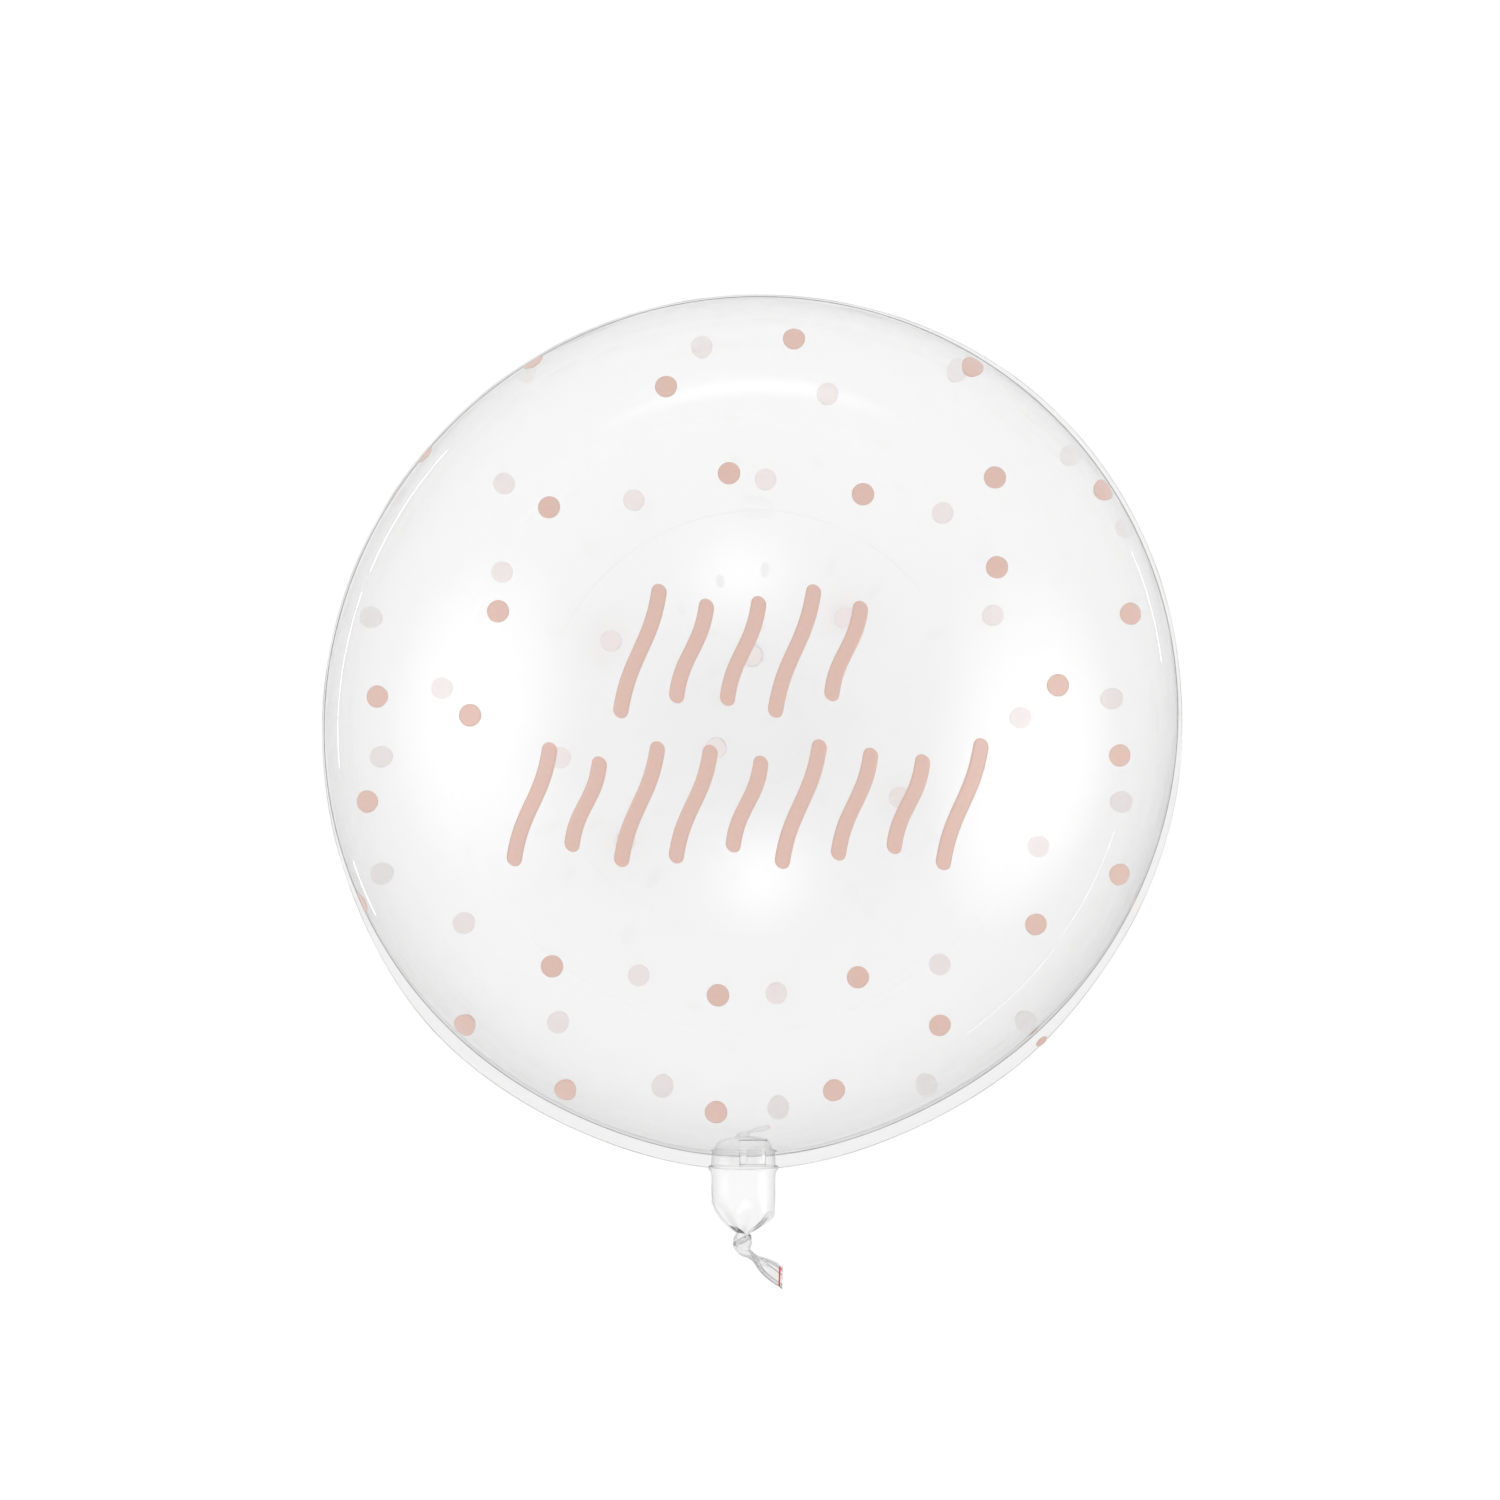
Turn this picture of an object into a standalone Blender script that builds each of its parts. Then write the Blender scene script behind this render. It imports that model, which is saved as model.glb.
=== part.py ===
"""A clear bubble balloon, knotted at its neck, lying on its back with its printed side up.

+Z is up and the neck points to -Y. The origin is the middle of the small flat spot that the ball rests on.
The balloon is one envelope of film, so it is one closed solid: a ball drawn slightly towards its neck, a weld
skirt round its middle, and a neck that ends in a pleated gather, a knot and a twisted tail. Lengths are in
metres.
"""

import math

import bmesh
import bpy
import numpy as np

BALL_RADIUS = 0.200
OVAL = 0.0020  # how far the ball stretches along one slanted line and shrinks across it
OVAL_BEARING = 40.0  # degrees from +X towards +Y
NECK_DRAW = 0.0042  # how far the film round the neck is pulled out of round
NECK_DRAW_SPREAD = 13.0  # degrees
REST_SPOT_RADIUS = 0.030  # the flat that the ball's weight presses under it

WELD_THICKNESS = 0.0008
WELD_WIDTH = 0.0012  # the skirt's width where it is no more than a rim
SKIRT_WIDTH = 0.0065  # its width round the neck
SKIRT_SPREAD = 46.0  # degrees to each side of the neck at the full width
SKIRT_FADE = 30.0  # degrees over which it narrows
SIDE_SKIRT_WIDTH = 0.0034  # its width up the right side
SIDE_SKIRT_BEARING = -24.0  # degrees from +X towards +Y
SIDE_SKIRT_SPREAD = 18.0  # degrees to each side
SIDE_SKIRT_FADE = 22.0
WELD_SUNK = 0.0040  # how deep the weld's ring starts inside the ball

NECK_SHIFT = -0.0036  # sideways from the ball's middle
NECK_WIDTH = 0.0300
NECK_DEPTH = 0.0270
NECK_LENGTH = 0.0198  # from the collar to the gather
NECK_SUNK = 0.0120  # how deep the neck starts inside the ball
COLLAR_STANDOFF = 0.0050  # from the ball's outline to the middle of the welded rim round the neck's root
COLLAR_OUT = 0.0009
COLLAR_LENGTH = 0.0024
GATHER_LENGTH = 0.0116
GATHER_ROUNDNESS = 1.4  # 1 is a plain cone, and more is a fuller bag
GATHER_SLANT = -8.5  # degrees by which the gather's first fold lies askew
PLEATS = 7
PLEAT_DEPTH = 0.16  # as a share of the section's size

WAIST_WIDTH = 0.0066
KNOT_WIDTH = 0.0094
KNOT_LENGTH = 0.0094
KNOT_START = 0.15  # where the knot's first section lies, as a share of its length
KNOT_FULLNESS = 0.8  # 1 is a plain swell, and less is a fuller lump
KNOT_LEAN = -0.0008
KNOT_WRAP_THICKNESS = 0.0026  # the turn of film that is tied round the knot
KNOT_WRAP_SLANT = 28.0  # degrees
KNOT_WRAP_PLACE = 0.35  # as a share of the knot's length
TAIL_ROOT_WIDTH = 0.0042
TAIL_END_WIDTH = 0.0098
TAIL_LENGTH = 0.0188
TAIL_THICKNESS = 0.0036
TAIL_START = 0.12  # where the tail's first section lies, as a share of its length
TAIL_SPREAD = 0.7  # 1 spreads evenly, and less spreads sooner
TAIL_TURN = 50.0  # degrees between the neck's line and the tail's
TAIL_TWIST = 140.0  # degrees that the tail is wrung round its own line
TAIL_FOLDS = 3
TAIL_FOLD_DEPTH = 0.18

BALL_SEGMENTS = 72
BALL_RINGS = 36
NECK_SEGMENTS = 42
GATHER_SECTIONS = 7
KNOT_SECTIONS = 8
TAIL_SECTIONS = 10
WRAP_SEGMENTS = 24
WRAP_SIDES = 8
SMOOTH_BELOW = 40.0  # degrees between faces that are shaded as one surface

BALL_HEIGHT = math.sqrt(BALL_RADIUS**2 - REST_SPOT_RADIUS**2)  # of its middle, over the flat spot
SKIRT_HEADING = -90.0  # the neck's bearing


def outline_radius(bearing):
    """The ball's radius, in metres, in the direction of a bearing in degrees, at the level of its middle."""
    off_neck = (bearing - SKIRT_HEADING + 180.0) % 360.0 - 180.0
    oval = OVAL * np.cos(np.radians(2.0 * (bearing - OVAL_BEARING)))
    return BALL_RADIUS + oval + NECK_DRAW * np.exp(-0.5 * (off_neck / NECK_DRAW_SPREAD) ** 2)


def skirt(bearing, middle, width, spread, fade_over):
    """A skirt's width: full to each side of its middle bearing, then narrowing to the plain rim."""
    off_middle = np.abs((bearing - middle + 180.0) % 360.0 - 180.0)
    fade = np.clip((off_middle - spread) / fade_over, 0.0, 1.0)
    return width + (WELD_WIDTH - width) * (3.0 - 2.0 * fade) * fade**2


def weld_width(bearing):
    """How far the weld stands out of the ball: widest round the neck, half as wide up the right side."""
    neck_skirt = skirt(bearing, SKIRT_HEADING, SKIRT_WIDTH, SKIRT_SPREAD, SKIRT_FADE)
    side_skirt = skirt(bearing, SIDE_SKIRT_BEARING, SIDE_SKIRT_WIDTH, SIDE_SKIRT_SPREAD, SIDE_SKIRT_FADE)
    return np.maximum(neck_skirt, side_skirt)


def collar_reach():
    """How far along -Y the welded rim round the neck's root lies."""
    return float(outline_radius(SKIRT_HEADING)) + COLLAR_STANDOFF


def gather_reach():
    """How far along -Y the neck's tube ends and its pleats start."""
    return collar_reach() + NECK_LENGTH


def knot_reach():
    """How far along -Y the pleats close into the waist above the knot."""
    return gather_reach() + GATHER_LENGTH


def tail_root():
    """The point where the tail leaves the knot, at the level of the ball's middle."""
    return NECK_SHIFT + TAIL_ROOT_WIDTH / 2.0, -knot_reach() - KNOT_LENGTH


def new_object(name, bm, material):
    """Puts a bmesh in the scene as a named object with smooth shading over its soft edges."""
    bmesh.ops.recalc_face_normals(bm, faces=bm.faces)
    mesh = bpy.data.meshes.new(name)
    bm.to_mesh(mesh)
    bm.free()
    mesh.materials.append(material)
    mesh.shade_smooth()
    mesh.set_sharp_from_angle(angle=math.radians(SMOOTH_BELOW))
    obj = bpy.data.objects.new(name, mesh)
    bpy.context.scene.collection.objects.link(obj)
    return obj


def clear_film():
    """Clear glossy film, as one Principled material."""
    material = bpy.data.materials.new("clear_film")
    material.use_nodes = True
    shader = material.node_tree.nodes["Principled BSDF"]
    shader.inputs["Base Color"].default_value = (0.90, 0.90, 0.91, 1.0)
    shader.inputs["Roughness"].default_value = 0.05
    shader.inputs["Metallic"].default_value = 0.0
    shader.inputs["Transmission Weight"].default_value = 0.9
    return material


def loft(bm, sections, ring):
    """Joins closed sections, each an array of points, by walls. A ring closes on its first section, and any
    other row of sections is capped at both ends."""
    loops = [[bm.verts.new(point) for point in section] for section in sections]
    following = loops[1:] + loops[:1] if ring else loops[1:]
    for one, other in zip(loops, following):
        for corner in range(len(one)):
            after = (corner + 1) % len(one)
            bm.faces.new((one[corner], one[after], other[after], other[corner]))
    if not ring:
        bm.faces.new(loops[0])
        bm.faces.new(loops[-1])


def ball(material):
    """A sphere, pulled to the balloon's outline and cut flat where it rests."""
    bm = bmesh.new()
    bmesh.ops.create_uvsphere(bm, u_segments=BALL_SEGMENTS, v_segments=BALL_RINGS, radius=1.0)
    for vert in bm.verts:
        x, y, z = vert.co
        # The stretch fades from the middle to the poles, where the ball keeps its plain radius.
        level = x * x + y * y
        stretch = outline_radius(math.degrees(math.atan2(y, x))) - BALL_RADIUS
        vert.co *= BALL_RADIUS + level**2 * stretch
        vert.co.z += BALL_HEIGHT
    everything = bm.verts[:] + bm.edges[:] + bm.faces[:]
    floor = {"plane_co": (0, 0, 0), "plane_no": (0, 0, -1)}
    cut = bmesh.ops.bisect_plane(bm, geom=everything, clear_outer=True, **floor)
    rim = [item for item in cut["geom_cut"] if isinstance(item, bmesh.types.BMEdge)]
    bmesh.ops.holes_fill(bm, edges=rim)
    return new_object("balloon", bm, material)


def weld(material):
    """The flat welded rim round the ball, with its wide skirt at the neck."""
    bearings = np.linspace(0.0, 360.0, BALL_SEGMENTS, endpoint=False)
    inner = outline_radius(bearings) - WELD_SUNK
    outer = outline_radius(bearings) + weld_width(bearings)
    across, along = np.cos(np.radians(bearings)), np.sin(np.radians(bearings))
    half = WELD_THICKNESS / 2.0
    sections = []
    for at, radius_in, radius_out in zip(zip(across, along), inner, outer):
        corners = ((radius_in, -half), (radius_out, -half), (radius_out, half), (radius_in, half))
        sections.append([(r * at[0], r * at[1], BALL_HEIGHT + lift) for r, lift in corners])
    bm = bmesh.new()
    loft(bm, sections, ring=True)
    return new_object("weld_tool", bm, material)


def film_section(centre, width, depth, heading, pleats=0, pleat_depth=0.0, roll=0.0):
    """One closed section of gathered film.

    It is an ellipse of the given width and depth, waved by its pleats, and rolled about its own middle. The
    heading is the way its normal points, in degrees from -Y towards +X.
    """
    angle = np.linspace(0.0, 2.0 * math.pi, NECK_SEGMENTS, endpoint=False)
    wave = 1.0 - pleat_depth * (0.5 - 0.5 * np.cos(pleats * angle))
    wide = width / 2.0 * np.cos(angle) * wave
    deep = depth / 2.0 * np.sin(angle) * wave
    turn, lean = math.radians(heading), math.radians(roll)
    sideways = wide * math.cos(lean) - deep * math.sin(lean)
    upwards = wide * math.sin(lean) + deep * math.cos(lean)
    x = centre[0] + sideways * math.cos(turn)
    y = centre[1] + sideways * math.sin(turn)
    return np.stack([x, y, BALL_HEIGHT + upwards], axis=1)


def neck_sections():
    """The tube of the neck, from inside the ball to its first fold, with the welded rim round its root."""
    rim = collar_reach()
    steps = (
        (rim - COLLAR_STANDOFF - NECK_SUNK, 0.0),
        (rim - COLLAR_LENGTH / 2.0, 0.0),
        (rim, COLLAR_OUT),
        (rim + COLLAR_LENGTH / 2.0, 0.0),
        (rim + NECK_LENGTH / 2.0, 0.0),
    )
    return [
        film_section((NECK_SHIFT, -reach), NECK_WIDTH + 2 * out, NECK_DEPTH + 2 * out, 0.0)
        for reach, out in steps
    ]


def gather_sections():
    """The neck drawn into its waist by pleats that deepen as the film closes up."""
    sections = []
    for t in np.linspace(0.0, 1.0, GATHER_SECTIONS):
        open_share = 1.0 - t**GATHER_ROUNDNESS
        width = WAIST_WIDTH + (NECK_WIDTH - WAIST_WIDTH) * open_share
        depth = WAIST_WIDTH + (NECK_DEPTH - WAIST_WIDTH) * open_share
        centre = (NECK_SHIFT, -gather_reach() - GATHER_LENGTH * t)
        slant = GATHER_SLANT * (1.0 - t)
        sections.append(film_section(centre, width, depth, slant, PLEATS, PLEAT_DEPTH * math.sqrt(t)))
    return sections


def knot_sections():
    """The knot: a wrung lump that leans to one side and closes down to the tail's root."""
    end_x, end_y = tail_root()
    sections = []
    for t in np.linspace(KNOT_START, 1.0, KNOT_SECTIONS):
        ends = WAIST_WIDTH + (TAIL_ROOT_WIDTH - WAIST_WIDTH) * t
        swell = math.sin(math.pi * t) ** KNOT_FULLNESS if t < 1.0 else 0.0
        width = ends + (KNOT_WIDTH - ends) * swell
        x = NECK_SHIFT + KNOT_LEAN * swell + (end_x - NECK_SHIFT) * t**2
        y = -knot_reach() + (end_y + knot_reach()) * t
        sections.append(
            film_section((x, y), width, width, TAIL_TURN * t**2, PLEATS, PLEAT_DEPTH / 2.0, -TAIL_TWIST * t)
        )
    return sections


def tail_sections():
    """The tail: flat film in folds, wrung about its own line and spreading to its cut end."""
    turn = math.radians(TAIL_TURN)
    root_x, root_y = tail_root()
    sections = []
    for t in np.linspace(TAIL_START, 1.0, TAIL_SECTIONS):
        width = TAIL_ROOT_WIDTH + (TAIL_END_WIDTH - TAIL_ROOT_WIDTH) * t**TAIL_SPREAD
        reach = TAIL_LENGTH * t
        centre = (root_x + reach * math.sin(turn), root_y - reach * math.cos(turn))
        roll = TAIL_TWIST * (t - 1.0)
        sections.append(
            film_section(centre, width, TAIL_THICKNESS, TAIL_TURN, TAIL_FOLDS, TAIL_FOLD_DEPTH, roll)
        )
    return sections


def neck(material):
    """Neck, gather, knot and tail as one run of film."""
    bm = bmesh.new()
    loft(bm, neck_sections() + gather_sections() + knot_sections() + tail_sections(), ring=False)
    return new_object("neck_tool", bm, material)


def knot_wrap(material):
    """The slanted turn of film round the knot's upper half."""
    middle = (NECK_SHIFT + KNOT_LEAN / 2.0, -knot_reach() - KNOT_LENGTH * KNOT_WRAP_PLACE)
    ring_radius = (KNOT_WIDTH - KNOT_WRAP_THICKNESS) / 2.0
    slant = math.radians(KNOT_WRAP_SLANT)
    round_tube = np.linspace(0.0, 2.0 * math.pi, WRAP_SIDES, endpoint=False)
    reach = ring_radius + KNOT_WRAP_THICKNESS / 2.0 * np.cos(round_tube)
    along = KNOT_WRAP_THICKNESS / 2.0 * np.sin(round_tube)
    sections = []
    for turn in np.linspace(0.0, 2.0 * math.pi, WRAP_SEGMENTS, endpoint=False):
        sideways, upwards = reach * math.cos(turn), reach * math.sin(turn)
        x = middle[0] + sideways * math.cos(slant) - along * math.sin(slant)
        y = middle[1] + sideways * math.sin(slant) + along * math.cos(slant)
        sections.append(np.stack([x, y, BALL_HEIGHT + upwards], axis=1))
    bm = bmesh.new()
    loft(bm, sections, ring=True)
    return new_object("knot_wrap_tool", bm, material)


def join(body, tool):
    """Adds a closed tool to the body and keeps the tool itself out of the model."""
    tool.hide_render = True
    tool.display_type = "WIRE"
    union = body.modifiers.new("add_" + tool.name, "BOOLEAN")
    union.operation = "UNION"
    union.solver = "EXACT"
    union.use_self = True
    union.object = tool


def main():
    for old in list(bpy.data.objects):
        bpy.data.objects.remove(old, do_unlink=True)
    film = clear_film()
    balloon = ball(film)
    for tool in (neck(film), knot_wrap(film), weld(film)):
        join(balloon, tool)


main()
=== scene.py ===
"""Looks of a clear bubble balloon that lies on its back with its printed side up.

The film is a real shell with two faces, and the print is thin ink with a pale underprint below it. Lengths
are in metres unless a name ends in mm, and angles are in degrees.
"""

import logging
import math
from dataclasses import dataclass
from enum import Enum

import bpy
import numpy as np
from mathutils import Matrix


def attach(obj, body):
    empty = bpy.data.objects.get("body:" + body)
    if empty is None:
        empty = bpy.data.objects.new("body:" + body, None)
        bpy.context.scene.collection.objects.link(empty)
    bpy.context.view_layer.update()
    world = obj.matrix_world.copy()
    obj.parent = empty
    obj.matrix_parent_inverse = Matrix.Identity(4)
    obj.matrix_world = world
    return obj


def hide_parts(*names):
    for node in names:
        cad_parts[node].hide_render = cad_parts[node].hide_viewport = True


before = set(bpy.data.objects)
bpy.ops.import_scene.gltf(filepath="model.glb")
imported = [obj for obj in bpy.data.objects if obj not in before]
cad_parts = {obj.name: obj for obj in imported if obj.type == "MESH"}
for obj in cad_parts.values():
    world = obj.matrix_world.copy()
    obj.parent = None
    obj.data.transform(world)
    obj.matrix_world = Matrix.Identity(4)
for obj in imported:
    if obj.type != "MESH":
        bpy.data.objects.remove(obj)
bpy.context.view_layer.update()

LOG = logging.getLogger("balloon")
MM = 0.001
BODY = "root"
NODE = "balloon"

PHOTO_PIXELS = 1500
MM_PER_PIXEL = 0.47  # at the level of the ball's middle
BALL_PIXEL = (751.0, 722.0)  # the ball's middle in the photograph
FRAME_WIDTH = PHOTO_PIXELS * MM_PER_PIXEL * MM

Pair = tuple[float, float]
Array = np.ndarray
Values = np.ndarray | float
Material = bpy.types.Material
Node = bpy.types.Node
Piece = bpy.types.Object
Socket = bpy.types.NodeSocket
Tree = bpy.types.NodeTree


def linear(hex_colour: str) -> tuple[float, float, float, float]:
    """Turns an sRGB hex colour into the linear colour that a shader takes.

    Args:
        hex_colour: Six hex digits, such as "DBBBAF".

    Returns:
        Red, green, blue and an alpha of 1.
    """
    shares = np.array([int(hex_colour[i : i + 2], 16) for i in (0, 2, 4)]) / 255.0
    curve = np.where(shares <= 0.04045, shares / 12.92, ((shares + 0.055) / 1.055) ** 2.4)
    return (float(curve[0]), float(curve[1]), float(curve[2]), 1.0)


def node(tree: Tree, kind: str, settings: dict | None = None, **links: object) -> Node:
    """Adds one node with its settings and its links.

    Args:
        tree: The tree that gets the node.
        kind: The node's type name without "ShaderNode".
        settings: Values by attribute name, or by input name for values on sockets.
        **links: An output socket for each input, named with _ for a space, or in_N for input number N.

    Returns:
        The new node.
    """
    made = tree.nodes.new("ShaderNode" + kind)
    for name, value in (settings or {}).items():
        if isinstance(name, int) or name in made.inputs:
            made.inputs[name].default_value = value
        else:
            setattr(made, name, value)
    for name, source in links.items():
        key = int(name[3:]) if name.startswith("in_") else name.replace("_", " ")
        tree.links.new(source, made.inputs[key])
    return made


def maths(tree: Tree, operation: str, first: object, second: object = 0.0) -> Socket:
    """Adds one Math node.

    Args:
        tree: The tree that gets the node.
        operation: What it does.
        first: A socket or a number.
        second: The same, where the operation takes two.

    Returns:
        The socket of its result.
    """
    made = node(tree, "Math", {"operation": operation})
    for number, value in enumerate((first, second)):
        if isinstance(value, Socket):
            tree.links.new(value, made.inputs[number])
        else:
            made.inputs[number].default_value = value
    return made.outputs[0]


def tones(tree: Tree, share: Socket, first: object, second: str, blend: str = "MIX") -> Socket:
    """Adds one node that mixes two colours.

    Args:
        tree: The tree that gets the node.
        share: How much of the second colour shows.
        first: A socket or hex digits.
        second: Hex digits.
        blend: How the second goes over the first.

    Returns:
        The socket of its result.
    """
    made = node(tree, "Mix", {"data_type": "RGBA", "blend_type": blend, 7: linear(second)}, Factor=share)
    if isinstance(first, str):
        made.inputs[6].default_value = linear(first)
    else:
        tree.links.new(first, made.inputs[6])
    return made.outputs[2]


def dotted(tree: Tree, place: Socket, way: tuple) -> Socket:
    """Adds the dot product of a place, or of a direction, with a way."""
    return node(tree, "VectorMath", {"operation": "DOT_PRODUCT", 1: way}, in_0=place).outputs["Value"]


def noise(tree: Tree, size_mm: float, **settings: float) -> Socket:
    """Adds noise over the piece's own coordinates, whose pattern is so many real mm wide."""
    place = node(tree, "TexCoord").outputs["Object"]
    return node(tree, "TexNoise", {"Scale": 1.0 / (size_mm * MM), **settings}, Vector=place).outputs[0]


def bumped(tree: Tree, height: Socket, height_mm: float, strength: float = 1.0) -> None:
    """Lets a height of so many real mm tilt the surface of the tree's Principled shader."""
    bump = node(tree, "Bump", {"Distance": height_mm * MM, "Strength": strength}, Height=height)
    tree.links.new(bump.outputs["Normal"], tree.nodes["Principled BSDF"].inputs["Normal"])


def staged(name: str, points: list, faces: list, material: Material) -> Piece:
    """Puts a plain surface on the stage, which isn't part of the balloon."""
    mesh = bpy.data.meshes.new(name)
    mesh.from_pydata(points, [], faces)
    mesh.materials.append(material)
    piece = bpy.data.objects.new(name, mesh)
    bpy.context.scene.collection.objects.link(piece)
    return piece


def principled(name: str, values: dict[str, object]) -> tuple[Material, Tree, Node]:
    """Starts a material.

    Args:
        name: Its name.
        values: The plain values of its Principled shader, by input.

    Returns:
        The material, its tree and its Principled shader.
    """
    material = bpy.data.materials.new(name)
    material.use_nodes = True
    shader = material.node_tree.nodes["Principled BSDF"]
    for key, value in values.items():
        shader.inputs[key].default_value = value
    return material, material.node_tree, shader


def turns(count: int) -> Array:
    """Evenly spaced angles once round, in radians."""
    return np.linspace(0.0, 2.0 * math.pi, count, endpoint=False)


def disc(points: int) -> tuple[Array, Array]:
    """The two coordinates, from -1 to 1, of a square grid that is drawn into a disc."""
    line = np.linspace(-1.0, 1.0, points)
    s, t = np.meshgrid(line, line, indexing="ij")
    return s * np.sqrt(1.0 - t**2 / 2.0), t * np.sqrt(1.0 - s**2 / 2.0)


def grid_faces(rows: int, columns: int, wrap_rows: bool, wrap_columns: bool) -> Array:
    """Lists the four corners of each cell of a grid of points that is stored row by row.

    Args:
        rows: Number of rows of points.
        columns: Number of points in a row.
        wrap_rows: Whether the last row joins the first.
        wrap_columns: Whether each row closes on itself.

    Returns:
        An array of faces, four point numbers each.
    """
    row = np.arange(rows if wrap_rows else rows - 1)[:, None]
    column = np.arange(columns if wrap_columns else columns - 1)[None, :]
    below, beside = (row + 1) % rows, (column + 1) % columns
    corners = (
        row * columns + column, row * columns + beside,
        below * columns + beside, below * columns + column,
    )
    return np.stack(np.broadcast_arrays(*corners), axis=-1).reshape(-1, 4)


def mesh_piece(
    name: str, points: Array, quads: Array, finish: Material, triangles: Array | None = None
) -> Piece:
    """Puts a closed or open surface in the scene, with its place in its mesh and smooth shading.

    A closed surface that encloses a negative volume, by the sum of its cells' corner triple products, is
    turned outside in, so that its faces point outwards.

    Args:
        name: The piece's name.
        points: Its points, three numbers each.
        quads: Four point numbers for each four-sided face.
        finish: Its material.
        triangles: Three point numbers for each triangle.

    Returns:
        The new object, which rides on the balloon's body.
    """
    triangles = np.empty((0, 3), int) if triangles is None else triangles
    corners = np.concatenate([quads[:, :3], quads[:, [0, 2, 3]], triangles])
    a, b, c = (points[corners[:, k]] for k in range(3))
    if np.einsum("ij,ij->", a, np.cross(b, c)) < 0.0:
        quads, triangles = quads[:, ::-1], triangles[:, ::-1]
    mesh = bpy.data.meshes.new(name)
    mesh.from_pydata(points.tolist(), [], quads.tolist() + triangles.tolist())
    mesh.materials.append(finish)
    mesh.shade_smooth()
    piece = bpy.data.objects.new(name, mesh)
    bpy.context.scene.collection.objects.link(piece)
    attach(piece, BODY)
    LOG.info("%s: %d points, %d faces", name, len(mesh.vertices), len(mesh.polygons))
    return piece


def plates(name: str, low: Array, high: Array, finish: Material) -> Piece:
    """Makes thin closed plates, each from a lower and an upper sheet of points joined round the edge.

    Args:
        name: The piece's name.
        low: Lower sheets, as plates by rows by columns by 3.
        high: Upper sheets, of the same shape.
        finish: Its material.

    Returns:
        The new object.
    """
    count, rows, columns, _ = low.shape
    size = rows * columns
    sheet = grid_faces(rows, columns, False, False)
    number = np.arange(size).reshape(rows, columns)
    edge = np.concatenate([number[0, :-1], number[:-1, -1], number[-1, :0:-1], number[:0:-1, 0]])
    after = np.roll(edge, -1)
    side = np.stack([edge, edge + size, after + size, after], axis=1)
    one = np.concatenate([sheet[:, ::-1], sheet + size, side[:, ::-1]])
    faces = (one[None] + np.arange(count)[:, None, None] * 2 * size).reshape(-1, 4)
    points = np.stack([low, high], axis=1).reshape(-1, 3)
    return mesh_piece(name, points, faces, finish)


def at_level(plan: Array, level: float) -> Array:
    """Puts plan positions at one height."""
    return np.concatenate([plan, np.full(plan.shape[:-1] + (1,), level)], axis=-1)


def wall(piece: Piece, thickness: float) -> None:
    """Gives a surface its wall, inwards from its outer face."""
    solidify = piece.modifiers.new("film_wall", "SOLIDIFY")
    solidify.thickness = thickness
    solidify.offset = -1.0
    solidify.use_even_offset = False


class Side(Enum):
    """The two sides of the balloon: the printed front faces up as it lies, and the back faces down."""

    FRONT = 1
    BACK = -1


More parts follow.
